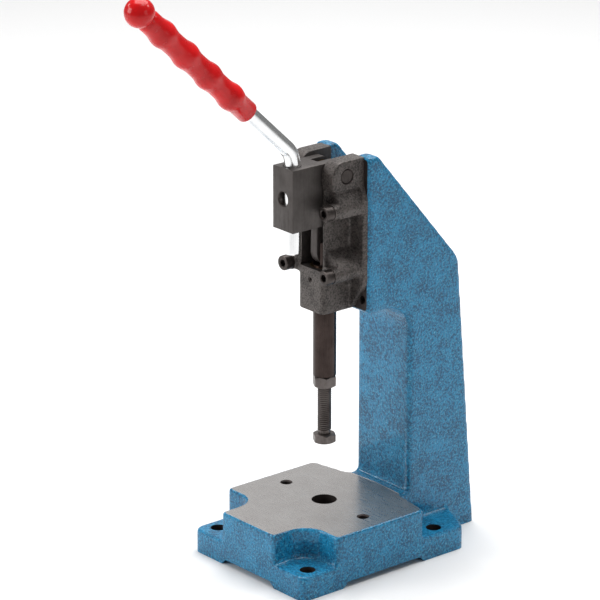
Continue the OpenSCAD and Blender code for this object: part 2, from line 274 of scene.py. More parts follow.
def mathNode(tree, operation, first, second):
    node = tree.nodes.new("ShaderNodeMath")
    node.operation = operation
    for i, value in enumerate((first, second)):
        if isinstance(value, (int, float)):
            node.inputs[i].default_value = value
        else:
            tree.links.new(value, node.inputs[i])
    return node.outputs[0]


def mixNode(tree, factor, first, second, blend="MIX"):
    node = tree.nodes.new("ShaderNodeMix")
    node.data_type = "RGBA"
    node.blend_type = blend
    for i, value in ((0, factor), (6, first), (7, second)):
        if isinstance(value, (int, float)):
            node.inputs[i].default_value = value
        elif isinstance(value, tuple):
            node.inputs[i].default_value = value + (1,)
        else:
            tree.links.new(value, node.inputs[i])
    return node.outputs[2]


def makeMottle():
    # patches of two tones at two sizes
    group, fed, out = newGroup("mottle", [("Vector", "NodeSocketVector", None),
                                          ("Size", "NodeSocketFloat", 100.0),
                                          ("Low", "NodeSocketFloat", 0.35),
                                          ("High", "NodeSocketFloat", 0.65),
                                          ("Dark", "NodeSocketColor", None),
                                          ("Light", "NodeSocketColor", None)],
                               [("Colour", "NodeSocketColor"), ("Mask", "NodeSocketFloat")])
    fineShare, broadShare, broadSize = 0.72, 0.28, 0.11
    patchSize = mathNode(group, "MULTIPLY", fed.outputs["Size"], broadSize)
    fine = noiseNode(group, fed.outputs["Vector"], fed.outputs["Size"], 4.0, 0.6)
    broad = noiseNode(group, fed.outputs["Vector"], patchSize, 2.0)
    both = mathNode(group, "ADD", mathNode(group, "MULTIPLY", fine, fineShare),
                    mathNode(group, "MULTIPLY", broad, broadShare))
    mask = rangeNode(group, both, fed.outputs["Low"], fed.outputs["High"], 0.0, 1.0)
    group.links.new(mask, out.inputs["Mask"])
    group.links.new(mixNode(group, mask, fed.outputs["Dark"], fed.outputs["Light"]), out.inputs["Colour"])
    return group


def makeCastGrit():
    # sand-cast height: coarse swells with a fine grit on them
    group, fed, out = newGroup("castGrit", [("Vector", "NodeSocketVector", None),
                                            ("Swell", "NodeSocketFloat", 200.0),
                                            ("Grit", "NodeSocketFloat", 900.0),
                                            ("Share", "NodeSocketFloat", 0.5)],
                               [("Height", "NodeSocketFloat")])
    swell = noiseNode(group, fed.outputs["Vector"], fed.outputs["Swell"], 2.0)
    grit = noiseNode(group, fed.outputs["Vector"], fed.outputs["Grit"], 3.0, 0.65)
    height = mathNode(group, "ADD", swell, mathNode(group, "MULTIPLY", grit, fed.outputs["Share"]))
    group.links.new(height, out.inputs["Height"])
    return group


def makeBrushed():
    # fine scratches along one way: the vector comes already stretched
    group, fed, out = newGroup("brushed", [("Vector", "NodeSocketVector", None),
                                           ("Size", "NodeSocketFloat", 300.0)],
                               [("Height", "NodeSocketFloat"), ("Mask", "NodeSocketFloat")])
    lines = noiseNode(group, fed.outputs["Vector"], fed.outputs["Size"], 5.0, 0.7)
    group.links.new(lines, out.inputs["Height"])
    group.links.new(rangeNode(group, lines, 0.3, 0.7, 0.0, 1.0), out.inputs["Mask"])
    return group


mottle = makeMottle()
castGrit = makeCastGrit()
brushed = makeBrushed()


def startFinish(name, stretch=(1, 1, 1)):
    material = bpy.data.materials.new(name)
    material.use_nodes = True
    tree = material.node_tree
    tree.nodes.clear()
    out = tree.nodes.new("ShaderNodeOutputMaterial")
    shader = tree.nodes.new("ShaderNodeBsdfPrincipled")
    tree.links.new(shader.outputs[0], out.inputs[0])
    where = tree.nodes.new("ShaderNodeTexCoord").outputs["Object"]
    if stretch != (1, 1, 1):
        mapping = tree.nodes.new("ShaderNodeMapping")
        mapping.inputs["Scale"].default_value = stretch
        tree.links.new(where, mapping.inputs["Vector"])
        where = mapping.outputs[0]
    return material, tree, shader, where


def placeGroup(tree, group, where, **values):
    node = tree.nodes.new("ShaderNodeGroup")
    node.node_tree = group
    tree.links.new(where, node.inputs["Vector"])
    for label, value in values.items():
        node.inputs[label].default_value = value + (1,) if isinstance(value, tuple) else value
    return node


def bumpFrom(tree, shader, height, strength, distance):
    bump = tree.nodes.new("ShaderNodeBump")
    bump.inputs["Strength"].default_value = strength
    bump.inputs["Distance"].default_value = distance
    tree.links.new(height, bump.inputs["Height"])
    tree.links.new(bump.outputs[0], shader.inputs["Normal"])


def enamelFinish():
    # paint over rough iron: a fine orange peel with paler flecks
    look = {"deep": (0.0008, 0.078, 0.170), "bright": (0.002, 0.235, 0.460), "fleck": (0.08, 0.47, 0.70),
            "cell": 500.0, "grit": 1300.0, "relief": 0.0012}
    material, tree, shader, where = startFinish("hammertoneEnamel")
    tones = placeGroup(tree, mottle, where, Size=look["cell"], Low=0.38, High=0.62, Dark=look["deep"],
                       Light=look["bright"])
    grit = placeGroup(tree, castGrit, where, Swell=look["cell"], Grit=look["grit"], Share=0.30)
    flecks = rangeNode(tree, noiseNode(tree, where, look["cell"] * 1.4, 2.0), 0.56, 0.70, 0.0, 0.6)
    colour = mixNode(tree, flecks, tones.outputs["Colour"], look["fleck"])
    tree.links.new(colour, shader.inputs["Base Color"])
    tree.links.new(rangeNode(tree, tones.outputs["Mask"], 0.0, 1.0, 0.50, 0.34), shader.inputs["Roughness"])
    shader.inputs["Coat Weight"].default_value = 0.45
    shader.inputs["Coat Roughness"].default_value = 0.08
    shader.inputs["Specular IOR Level"].default_value = 0.30
    bumpFrom(tree, shader, grit.outputs["Height"], 0.8, look["relief"])
    return material


def milledFinish(name, dark, light, stretch, size, roughness, metallic=0.9, relief=0.00006):
    # stretch is short along the way that the tool or the wheel went
    material, tree, shader, where = startFinish(name, stretch)
    lines = placeGroup(tree, brushed, where, Size=size)
    plain = tree.nodes.new("ShaderNodeTexCoord").outputs["Object"]
    patches = placeGroup(tree, mottle, plain, Size=60.0, Low=0.3, High=0.7, Dark=dark, Light=light)
    share = mathNode(tree, "MULTIPLY", lines.outputs["Mask"], 0.35)
    colour = mixNode(tree, share, patches.outputs["Colour"], light)
    tree.links.new(colour, shader.inputs["Base Color"])
    tree.links.new(rangeNode(tree, lines.outputs["Mask"], 0.0, 1.0, roughness + 0.1, roughness - 0.05),
                   shader.inputs["Roughness"])
    shader.inputs["Metallic"].default_value = metallic
    bumpFrom(tree, shader, lines.outputs["Height"], 0.5, relief)
    return material


def ironFinish():
    look = {"dark": (0.026, 0.022, 0.020), "light": (0.105, 0.090, 0.083), "patch": 620.0, "swell": 420.0,
            "grit": 1300.0, "relief": 0.0005}
    material, tree, shader, where = startFinish("roughIron")
    tones = placeGroup(tree, mottle, where, Size=look["patch"], Low=0.36, High=0.62, Dark=look["dark"],
                       Light=look["light"])
    grit = placeGroup(tree, castGrit, where, Swell=look["swell"], Grit=look["grit"], Share=0.9)
    tree.links.new(tones.outputs["Colour"], shader.inputs["Base Color"])
    tree.links.new(rangeNode(tree, tones.outputs["Mask"], 0.0, 1.0, 0.60, 0.36), shader.inputs["Roughness"])
    shader.inputs["Metallic"].default_value = 0.35
    bumpFrom(tree, shader, grit.outputs["Height"], 0.6, look["relief"])
    return material


def gripFinish():
    look = {"deep": (0.50, 0.002, 0.004), "bright": (0.70, 0.006, 0.008), "patch": 70.0, "swell": 160.0,
            "grit": 700.0, "relief": 0.0002}
    material, tree, shader, where = startFinish("redGrip")
    tones = placeGroup(tree, mottle, where, Size=look["patch"], Low=0.3, High=0.7, Dark=look["deep"],
                       Light=look["bright"])
    skin = placeGroup(tree, castGrit, where, Swell=look["swell"], Grit=look["grit"], Share=0.25)
    tree.links.new(tones.outputs["Colour"], shader.inputs["Base Color"])
    tree.links.new(rangeNode(tree, tones.outputs["Mask"], 0.0, 1.0, 0.30, 0.20), shader.inputs["Roughness"])
    shader.inputs["Coat Weight"].default_value = 0.3
    shader.inputs["Coat Roughness"].default_value = 0.05
    shader.inputs["Specular IOR Level"].default_value = 0.22
    shader.inputs["Subsurface Weight"].default_value = 0.12
    shader.inputs["Subsurface Scale"].default_value = 0.004
    bumpFrom(tree, shader, skin.outputs["Height"], 0.25, look["relief"])
    return material


enamel = enamelFinish()
roughIron = ironFinish()
redGrip = gripFinish()
tableSteel = milledFinish("milledTable", dark=(0.44, 0.42, 0.41), light=(0.49, 0.475, 0.465),
                          stretch=(0.04, 1.0, 1.0), size=1500.0, roughness=0.28)
bareIron = milledFinish("bareIron", dark=(0.035, 0.028, 0.027), light=(0.075, 0.060, 0.056),
                        stretch=(1.0, 1.0, 0.06), size=700.0, roughness=0.5, metallic=0.6)
leverSteel = milledFinish("phosphatedSteel", dark=(0.046, 0.039, 0.036), light=(0.086, 0.076, 0.072),
                          stretch=(1.0, 1.0, 0.10), size=500.0, roughness=0.46, metallic=0.55)
darkSteel = milledFinish("blackSteel", dark=(0.030, 0.025, 0.023), light=(0.085, 0.072, 0.067),
                         stretch=(1.0, 1.0, 0.3), size=900.0, roughness=0.36, metallic=0.8)
groundSteel = milledFinish("groundSteel", dark=(0.022, 0.014, 0.012), light=(0.060, 0.042, 0.037),
                           stretch=(1.0, 1.0, 0.04), size=1100.0, roughness=0.22, metallic=0.8)
spindleSteel = milledFinish("spindleSteel", dark=(0.078, 0.066, 0.061), light=(0.18, 0.158, 0.150),
                            stretch=(1.0, 1.0, 0.3), size=900.0, roughness=0.38, metallic=0.8)
zincSteel = milledFinish("brightZinc", dark=(0.80, 0.81, 0.82), light=(0.94, 0.95, 0.95),
                         stretch=(1.0, 1.0, 0.05), size=700.0, roughness=0.16, metallic=1.0, relief=0.00003)
bronze = milledFinish("oiledBronze", dark=(0.10, 0.065, 0.032), light=(0.20, 0.13, 0.06),
                      stretch=(0.1, 1.0, 1.0), size=700.0, roughness=0.34)
print("finishes ready")

# base and column, one casting with machined faces
castFrame = {"lug": 21.0, "lugR": 7.0, "rearEdgeY": 96.0, "rearR": 5.5, "tailY": 115.0, "table": 48.0,
             "tableRearY": 50.0, "tableRootY": 57.0, "notch": (35.0, 48.0), "notchR": 20.0, "edgeR": 1.5,
             "halfColumn": 34.5, "wallX": 18.5, "web": 14.0, "faceY": 18.6, "throatY": 67.0, "throatR": 26.0,
             "noseZ": 221.5, "crownY": 30.1, "knee": (122.8, 251.0), "leanAtFloor": 143.1, "rootY": 52.0,
             "skin": 0.7, "voxel": 1.75, "rounds": 11, "below": 7.0, "past": 90.0}
machining = {"boltX": 60.0, "boltY": (-69.5, 73.5), "boltR": 6.75, "boreR": 11.0, "tapX": 51.0, "tapR": 5.0,
             "tapDepth": 24.0, "faceTapX": 26.5, "faceTapZ": (233.5, 261.5, 289.5, 317.5), "faceTapR": 4.0,
             "threadDepth": 0.7, "relief": 5.0, "reliefEdge": 2.0, "padR": 23.0, "arcY": 59.8}


def castingPlates(wide, front, back, top):
    c = castFrame
    foot, skin, half = -c["below"], c["skin"], c["halfColumn"]
    faceY, noseZ, throatY, table = c["faceY"] - skin, c["noseZ"], c["throatY"], c["table"]
    notchX, notchY = c["notch"]
    basePlan = mirrored([(wide, front, c["lugR"]), (wide, c["rearEdgeY"], c["rearR"]),
                         (half - 1, c["tailY"], 0)])
    tablePlan = mirrored([(notchX, front, c["edgeR"]), (notchX, -notchY, c["notchR"]),
                          (wide, -notchY, c["edgeR"]), (wide, c["tableRearY"], c["edgeR"]),
                          (half, c["tableRootY"], 0)])
    heel = back + (back - c["knee"][0]) / c["knee"][1] * c["below"]
    throat = [(heel, foot, 0), (c["rootY"], foot, 0), (c["rootY"], table, 0), (throatY, table, 0.5),
              (throatY, noseZ, c["throatR"])]
    wall = [(faceY, noseZ, 4), (faceY, top, 3), (c["crownY"], top, 6), (*c["knee"], 20)] + throat
    innerY, innerZ = throatY + c["web"], noseZ + c["web"]
    web = [(faceY, noseZ, 4), (faceY, innerZ, 0), (innerY, innerZ, 12), (innerY, c["lug"], 6),
           (c["leanAtFloor"], c["lug"], 0)] + throat
    shape = plate(basePlan, "Z", foot, c["lug"])
    join(shape, plate(tablePlan, "Z", foot + 0.2, table + skin))
    join(shape, plate(wall, "X", c["wallX"], half, 9, bothSides=True))
    return join(shape, plate(web, "X", -c["wallX"] - 2, c["wallX"] + 2, 9))


def machineFaces(piece, front, top):
    # the milled table ends in a shallow arc before the column
    c, m, past = castFrame, machining, castFrame["past"]
    table = plate([(-past, front - 9, 0), (past, front - 9, 0), (past, 49, 0), (44, 57, 30),
                   (0, m["arcY"], 60), (-44, 57, 30), (-past, 49, 0)], "Z", c["table"], c["table"] + 6)
    carve(piece, table, tableSteel)
    faces = block((-past, front - 9, -14), (past, 160, 0))
    join(faces, block((-45, 5, c["noseZ"] + 0.4), (45, c["faceY"], top + 6)))
    carve(piece, faces, bareIron)


def drillCasting(piece):
    c, m, cut = castFrame, machining, machining["threadDepth"]
    table = c["table"]
    holes = bar(m["boreR"], -3, table + 3, (0, 0, 0), "Z", steps=96)
    for x in (-1, 1):
        for y in m["boltY"]:
            join(holes, bar(m["boltR"], -3, c["lug"] + 4, (x * m["boltX"], y, 0), "Z"))
        root, mouth = m["tapR"] - cut, m["tapR"] + 0.4
        join(holes, lathe([(0, table - m["tapDepth"]), (root, table - m["tapDepth"] + 2), (root, table - 1.1),
                           (mouth, table), (mouth, table + 3), (0, table + 3)], (x * m["tapX"], 0, 0)))
        root, mouth = m["faceTapR"] - 0.5, m["faceTapR"] + 0.3
        for z in m["faceTapZ"]:
            join(holes, lathe([(0, -3), (mouth, -3), (mouth, 0), (root, 0.9), (root, m["tapDepth"] - 2),
                               (0, m["tapDepth"])], (x * m["faceTapX"], c["faceY"], z), "Y", 48))
    carve(piece, holes, bareIron)


def reliefBetweenFeet(piece):
    # two sloped channels cross under the base and leave a round pad under the bore
    depth, edge = machining["relief"], machining["reliefEdge"]
    pad = bar(machining["padR"], -5, depth + 4, (0, 0, 0), "Z")
    for low, high, axis, span in ((-36, 36, "Y", (-95, 91)), (-42, 52, "X", (-90, 90))):
        plan = [(low, -1, 0), (low + 6, depth, edge), (high - 6, depth, edge), (high, -1, 0)]
        channel = thing("channel", plate(plan, axis, *span), enamel)
        carve(channel, pad.copy())
        shape = bmesh.new()
        shape.from_mesh(channel.data)
        bpy.data.objects.remove(channel)
        carve(piece, shape, enamel)
    pad.free()


def makeCasting():
    low, high = lowHigh("frame_casting")
    piece = thing("frameCasting", castingPlates(high[0], low[1], high[1], high[2]), enamel)
    castSkin(piece, castFrame["voxel"], castFrame["rounds"])
    print("casting skinned", len(piece.data.polygons))
    machineFaces(piece, low[1], high[2])
    drillCasting(piece)
    reliefBetweenFeet(piece)
    return finishPiece(piece, "base", "casting_paint", "frame_casting", sharp=40)


makeCasting()

# guide head, a rough casting with a milled slot; each fillet is a box whose points are smoothed
castHead = {"flangeY": 13.6, "faceY": 18.6, "housingX": 16.5, "housingY": -16.0, "guideZ": (224.0, 262.0),
            "slotX": 13.8, "bossX": 26.5, "bossZ": (261.5, 317.5), "bossY": -16.4, "bossR": 7.0, "earX": 28.5,
            "earY": -15.5, "earZ": 334.0, "earR": 12.5, "crownEdge": 4.5, "pivotZ": 346.0, "pivotR": 6.02,
            "cheekY": -14.0, "webTop": 329.0, "voxel": 0.8, "rounds": 6, "bushR": 12.53, "screwHoleR": 4.3,
            "keyZ": 252.0, "keyR": 2.5,
            "fillets": (((15.5, 3, 243), (32.6, 14.6, 258), 30),
                        ((15.5, -9, 265.5), (32.6, 14.6, 276), 30),
                        ((15.5, 3, 300), (32.6, 14.6, 313), 30),
                        ((20.0, -9, 321.5), (31.5, 14.6, 330.5), 30),
                        ((15.5, 6, 270), (26.0, 14.6, 305), 20))}


def headPlates(top):
    h = castHead
    faceY, flangeY, cheekY = h["faceY"], h["flangeY"], h["cheekY"]
    slotX, housingX = h["slotX"] - 0.7, h["housingX"]
    bottom, rim = h["guideZ"]
    flange = mirrored([(housingX, bottom, 0), (33.5, 247.5, 14), (33.5, 323.5, 8), (28.5, 336, 8),
                       (28.5, top, 4)])
    housing = mirrored([(housingX, h["housingY"], 4.5), (housingX, faceY + 1, 0)])
    cheek = [(cheekY, rim - 4, 0), (cheekY, h["pivotZ"], 2), (faceY, h["pivotZ"], 0), (faceY, rim - 4, 0)]
    shoulder = [(slotX, 336, 0), (25.5, 336, 0), (26, 332, 3), (33, 321, 2), (33, 312, 0), (slotX, 308, 0)]
    ramp = [(slotX, 280, 0), (16.8, 280, 0), (31, 267.5, 3), (31, 262, 0), (slotX, 262, 0)]
    shape = plate(flange, "Y", flangeY, faceY + 1)
    join(shape, plate(housing, "Z", bottom, rim + 0.7))
    join(shape, plate(cheek, "X", slotX, housingX, bothSides=True))
    join(shape, plate(shoulder, "Y", -11, flangeY + 1, bothSides=True))
    join(shape, plate(ramp, "Y", -10, flangeY + 1, bothSides=True))
    join(shape, earPair(top, slotX))
    for x in (-1, 1):
        for z in h["bossZ"]:
            join(shape, bar(h["bossR"], h["bossY"] - 0.6, faceY, (x * h["bossX"], 0, z), "Y"))
            inner, outer = sorted((x * (h["slotX"] + 1), x * h["bossX"]))
            reach = h["bossR"] - 1
            join(shape, block((inner, h["bossY"] + 1, z - reach), (outer, faceY, z + reach)))
    return shape


def earPair(top, slotX):
    h = castHead
    plan = [(h["earY"], h["earZ"], 4), (h["earY"], top, h["earR"]), (h["faceY"] + 1, top, 0),
            (h["faceY"] + 1, h["earZ"], 0)]
    ear = plate(plan, "X", slotX, h["earX"], 9)
    crown = [edge for edge in ear.edges if all(abs(v.co.x - h["earX"]) < 0.01 for v in edge.verts)
             and max(v.co.z for v in edge.verts) > h["pivotZ"]
             and min(v.co.y for v in edge.verts) < h["faceY"]]
    bmesh.ops.bevel(ear, geom=crown, offset=h["crownEdge"], offset_type="OFFSET", affect="EDGES", segments=5,
                    profile=0.5, material=-1, clamp_overlap=True)
    bmesh.ops.mirror(ear, geom=ear.verts[:] + ear.edges[:] + ear.faces[:], axis="X", merge_dist=0)
    facing(ear)
    return ear


def smoothFillets(piece):
    skin = bmesh.new()
    skin.from_mesh(piece.data)
    for low, high, rounds in castHead["fillets"]:
        near = [v for v in skin.verts if all(a < c < b for a, c, b in
                                             zip(low, (abs(v.co.x), v.co.y, v.co.z), high))]
        for turn in range(rounds):
            bmesh.ops.smooth_vert(skin, verts=near, factor=0.5, use_axis_x=True, use_axis_y=True,
                                  use_axis_z=True)
    skin.to_mesh(piece.data)
    skin.free()


def machineHead(piece, top):
    h = castHead
    bottom, rim = h["guideZ"]
    slotX, faceY, bossY, side = h["slotX"], h["faceY"], h["bossY"], h["slotX"] + 4
    carve(piece, block((-slotX, -40, rim), (slotX, h["flangeY"], top + 5)), leverSteel)
    planes = block((-60, faceY, bottom - 5), (60, faceY + 9, top + 9))
    join(planes, block((-60, -60, bottom - 20), (60, faceY - 1, bottom + 0.02)))
    join(planes, block((side, bossY - 6, 250), (60, bossY, 330)))
    join(planes, block((-60, bossY - 6, 250), (-side, bossY, 330)))
    carve(piece, planes, bareIron)
    carve(piece, block((-slotX, h["flangeY"] - 1, h["webTop"]), (slotX, faceY + 4, top + 5)), leverSteel)
    holes = bar(h["bushR"], bottom - 4, rim + 4, (0, 0, 0), "Z", steps=96)
    for x in (-1, 1):
        for z in h["bossZ"]:
            join(holes, bar(h["screwHoleR"], bossY - 3, faceY + 3, (x * h["bossX"], 0, z), "Y"))
    carve(piece, holes, bareIron)
    # the pivot hole is countersunk on both sides of both ears
    half = [(h["pivotR"], 26.9), (6.9, 27.6), (6.9, h["earX"] + 0.02), (7.6, 28.6), (7.6, 31), (0, 31)]
    profile = [(radius, -along) for radius, along in reversed(half)] + half
    carve(piece, lathe(profile, (0, 0, h["pivotZ"]), "X"), bareIron)
    carve(piece, bar(h["keyR"], h["housingY"] - 4, 0, (0, 0, h["keyZ"]), "Y", steps=32), bareIron)


def makeHead():
    top = lowHigh("head_body")[1][2]
    piece = thing("headBody", headPlates(top), roughIron)
    castSkin(piece, castHead["voxel"], castHead["rounds"])
    smoothFillets(piece)
    machineHead(piece, top)
    return finishPiece(piece, "base", "head_iron", "head_body", sharp=42)


makeHead()

# socket head cap screws with a knurled rim
capScrew = {"headR": 6.5, "headHeight": 8.0, "shankR": 4.0, "hold": 18.0, "socket": 6.0, "socketDepth": 4.0,
            "mouthR": 3.9, "knurl": 0.10, "teeth": 48, "turn": 0.26}


def makeCapScrew(number, x, z):
    c = capScrew
    under = castHead["bossY"]
    tip = castHead["faceY"] + c["hold"]
    face = under - c["headHeight"]
    head = lathe([(0, face), (c["headR"] - 0.9, face), (c["headR"] - 0.25, face + 0.35),
                  (c["headR"], face + 1.1), (c["headR"], under - 0.5), (c["headR"] - 0.4, under),
                  (c["shankR"], under), (c["shankR"], tip - 0.8), (c["shankR"] - 0.8, tip), (0, tip)],
                 (x, 0, z), "Y", c["teeth"] * 2)
    for v in head.verts:
        away = Vector((v.co.x - x, v.co.z - z))
        if abs(away.length - c["headR"]) < 0.02 and face + 0.9 < v.co.y < under:
            tooth = math.atan2(away.y, away.x) / (math.pi / c["teeth"])
            if round(tooth) % 2:
                v.co.x -= away.x / away.length * c["knurl"]
                v.co.z -= away.y / away.length * c["knurl"]
    piece = thing("capScrew" + str(number), head, darkSteel)
    socket = hexBar(c["socket"], face - 3, face + c["socketDepth"], (x, 0, z), "Y", c["turn"] * number)
    carve(piece, socket, darkSteel)
    mouth = [(0, face - 1), (c["mouthR"], face - 1), (c["mouthR"], face), (c["mouthR"] - 0.6, face + 0.5),
             (0, face + 0.5)]
    carve(piece, lathe(mouth, (x, 0, z), "Y", 48), darkSteel)
    return finishPiece(piece, "base", "dark_steel", "head_screw_" + str(number))


number = 0
for z in castHead["bossZ"]:
    for x in (castHead["bossX"], -castHead["bossX"]):
        number += 1
        makeCapScrew(number, x, z)

keyScrew = {"radius": 2.48, "chamfer": 0.3, "socket": 2.5, "depth": 1.6}


def makeKeyScrew():
    k = keyScrew
    low, high = lowHigh("key_screw")
    place = (0, 0, castHead["keyZ"])
    piece = thing("keyScrew", bar(k["radius"], low[1], high[1], place, "Y", k["chamfer"], 40), darkSteel)
    carve(piece, hexBar(k["socket"], low[1] - 1, low[1] + k["depth"], place, "Y"), darkSteel)
    finishPiece(piece, "base", "dark_steel", "key_screw")


makeKeyScrew()

leverPin = {"radius": 6.0, "half": 28.0, "chamfer": 0.6}


def makeLeverPin():
    pin = leverPin
    shape = bar(pin["radius"], -pin["half"], pin["half"], (0, 0, castHead["pivotZ"]), "X", pin["chamfer"])
    finishPiece(thing("leverPin", shape, darkSteel), "base", "dark_steel", "lever_pin")


makeLeverPin()

# lever block, milled from bar: a fork slot, a pocket for the link's pin, the rod hole and a tapped hole
leverBlock = {"halfWidth": 13.0, "frontY": -46.0, "bottomZ": 301.4, "topZ": 356.0, "tineR": 10.0, "slotX": 4.5,
              "slotY": -14.2, "lipY": -12.2, "lipZ": 351.0, "pocketLow": (-9.8, -8.7, 310.5),
              "pocketHigh": (9.8, 5.5, 330.0), "pivotR": 7.53, "rodY": -35.7, "rodR": 7.03, "screwZ": 329.0,
              "tapR": 6.0, "tapDepth": 8.0, "edge": 0.55}


def makeLeverBlock():
    b = leverBlock
    frontY, bottomZ, topZ, tineR, slotX = b["frontY"], b["bottomZ"], b["topZ"], b["tineR"], b["slotX"]
    outline = [(frontY, bottomZ, 0), (frontY, topZ, 0), (tineR, topZ, tineR - 0.5), (tineR, bottomZ, 4)]
    body = plate(outline, "X", -b["halfWidth"], b["halfWidth"], 10)
    piece = thing("leverBlock", softEdges(body, b["edge"], 40), leverSteel)
    carve(piece, block((-slotX, b["slotY"], bottomZ - 3), (slotX, tineR + 3, b["lipZ"])), leverSteel)
    carve(piece, block((-slotX, b["lipY"], b["lipZ"] - 4), (slotX, tineR + 3, topZ + 3)), leverSteel)
    carve(piece, block(b["pocketLow"], b["pocketHigh"]), leverSteel)
    carve(piece, bar(b["pivotR"], -20, 20, (0, 0, castHead["pivotZ"]), "X"), leverSteel)
    hole = b["rodR"]
    rod = lathe([(0, bottomZ - 4), (hole + 0.8, bottomZ - 4), (hole + 0.8, bottomZ), (hole, bottomZ + 0.8),
                 (hole, topZ - 1.0), (hole + 1.0, topZ), (hole + 1.0, topZ + 4), (0, topZ + 4)],
                (0, b["rodY"], 0))
    carve(piece, rod, leverSteel)
    tap = lathe([(0, -5), (b["tapR"] + 0.7, -5), (b["tapR"] + 0.7, 0), (b["tapR"], 0.8),
                 (b["tapR"], b["tapDepth"]), (0, b["tapDepth"])], (0, frontY, b["screwZ"]), "Y")
    carve(piece, tap, darkSteel)
    return finishPiece(piece, "lever", "lever_steel", "lever_block")


makeLeverBlock()

# clamp screw with a wound thread
clampScrew = {"radius": 5.97, "root": 4.7, "pitch": 2.0, "socket": 6.0, "depth": 6.0, "turn": 0.33}


def makeClampScrew():
    c = clampScrew
    low, high = lowHigh("clamp_screw")
    place = (0, low[1], leverBlock["screwZ"])
    length = high[1] - low[1]
    thread = helix(c["root"], c["radius"], c["pitch"], 0, length)
    bmesh.ops.transform(thread, matrix=aimed(place, "Y"), verts=thread.verts[:])
    facing(thread)
    piece = thing("clampScrew", thread, spindleSteel)
    outer = c["radius"] + 0.1
    blank = lathe([(0, 0), (c["root"] - 0.5, 0), (outer, 1.4), (outer, length - 1.2),
                   (c["root"] - 0.6, length), (0, length)], place, "Y")
    carve(piece, blank, spindleSteel, how="INTERSECT")
    carve(piece, hexBar(c["socket"], -2, c["depth"], place, "Y", c["turn"]), spindleSteel)
    return finishPiece(piece, "clamp", "dark_steel", "clamp_screw")


makeClampScrew()

# handle rod and grip; the bend's centre lies before the rod, and alongBend is the place after the bend
handle = {"rodR": 7.0, "bendR": 21.0, "bendZ": 357.0, "bend": 47.0, "reach": 56.0, "inside": 121.5,
          "chamfer": 0.9, "grip": 162.0, "collar": 18.0, "collarR": 9.5, "valleyR": 9.9, "ridgeR": 11.7,
          "ballR": 12.54, "ridges": 4, "lead": 0.28, "step": 1.5, "meet": 50.0, "ballPoints": 22}
bendCentre = Vector((0, leverBlock["rodY"] - handle["bendR"], handle["bendZ"]))
alongBend = (Matrix.Translation(bendCentre) @ Matrix.Rotation(math.radians(handle["bend"]), 4, "X")
             @ Matrix.Translation((0, handle["bendR"], 0)))


def makeRod():
    h = handle
    rodY, end = leverBlock["rodY"], lowHigh("handle_rod")[0][2]
    part = bmesh.new()
    bmesh.ops.create_circle(part, cap_ends=True, segments=56, radius=h["rodR"] - h["chamfer"])
    bmesh.ops.translate(part, verts=part.verts[:], vec=(0, rodY, end))
    for z in (end + h["chamfer"], h["bendZ"]):
        rim = [edge for edge in part.edges if edge.is_boundary]
        grown = bmesh.ops.extrude_edge_only(part, edges=rim)
        ring = [v for v in grown["geom"] if isinstance(v, bmesh.types.BMVert)]
        spread = h["rodR"] / Vector((ring[0].co.x, ring[0].co.y - rodY)).length
        bmesh.ops.scale(part, verts=ring, vec=(spread, spread, 1), space=Matrix.Translation((0, -rodY, 0)))
        bmesh.ops.translate(part, verts=ring, vec=(0, 0, z - ring[0].co.z))
    rim = [edge for edge in part.edges if edge.is_boundary]
    bmesh.ops.spin(part, geom=rim, cent=bendCentre, axis=(1, 0, 0), angle=math.radians(h["bend"]), steps=28)
    rim = [edge for edge in part.edges if edge.is_boundary]
    grown = bmesh.ops.extrude_edge_only(part, edges=rim)
    ring = [v for v in grown["geom"] if isinstance(v, bmesh.types.BMVert)]
    way = alongBend.to_3x3() @ Vector((0, 0, h["reach"] + h["inside"] - 0.3))
    bmesh.ops.translate(part, verts=ring, vec=way)
    bmesh.ops.holes_fill(part, edges=[edge for edge in part.edges if edge.is_boundary], sides=0)
    facing(part)
    return finishPiece(thing("handleRod", part, zincSteel), "handle", "zinc_steel", "handle_rod")


def makeGrip():
    # a collar, four ridges as a wave, and a ball that the last ridge runs into
    h = handle
    bore, collarR, ballR = h["rodR"] + 0.05, h["collarR"], h["ballR"]
    pitch = (h["grip"] - h["collar"] - ballR) / (h["ridges"] + 0.22)
    ballAt = h["grip"] - ballR
    meet = math.radians(h["meet"])
    waveEnd = ballAt - ballR * math.sin(meet)
    profile = [(0, h["inside"]), (bore, h["inside"]), (bore, 0.9), (h["rodR"] + 0.9, 0.1),
               (collarR - 1.0, 0), (collarR - 0.2, 0.4), (collarR, 1.2), (collarR, h["collar"] - 1.5)]
    along = h["collar"]
    while along < waveEnd - 0.6:
        wave = (1 - math.cos(2 * math.pi * (along - h["collar"] + h["lead"] * pitch) / pitch)) / 2
        profile.append((h["valleyR"] + (h["ridgeR"] - h["valleyR"]) * wave * wave, along))
        along += h["step"]
    for i in range(h["ballPoints"] + 1):
        angle = -meet + 0.10 + (math.pi / 2 + meet - 0.14) * i / h["ballPoints"]
        profile.append((ballR * math.cos(angle), ballAt + ballR * math.sin(angle)))
    profile.append((0, h["grip"]))
    part = lathe(profile, steps=112)
    bmesh.ops.translate(part, verts=part.verts[:], vec=(0, 0, h["reach"]))
    bmesh.ops.transform(part, matrix=alongBend, verts=part.verts[:])
    return finishPiece(thing("handleGrip", part, redGrip), "handle", "red_grip", "handle_grip", sharp=60)


makeRod()
makeGrip()

# toggle link
toggleLink = {"half": 4.2, "footZ": 276.0, "headZ": 316.0, "footR": 12.3, "headR": 11.0, "footBore": 5.53,
              "headBore": 5.0, "edge": 0.5}


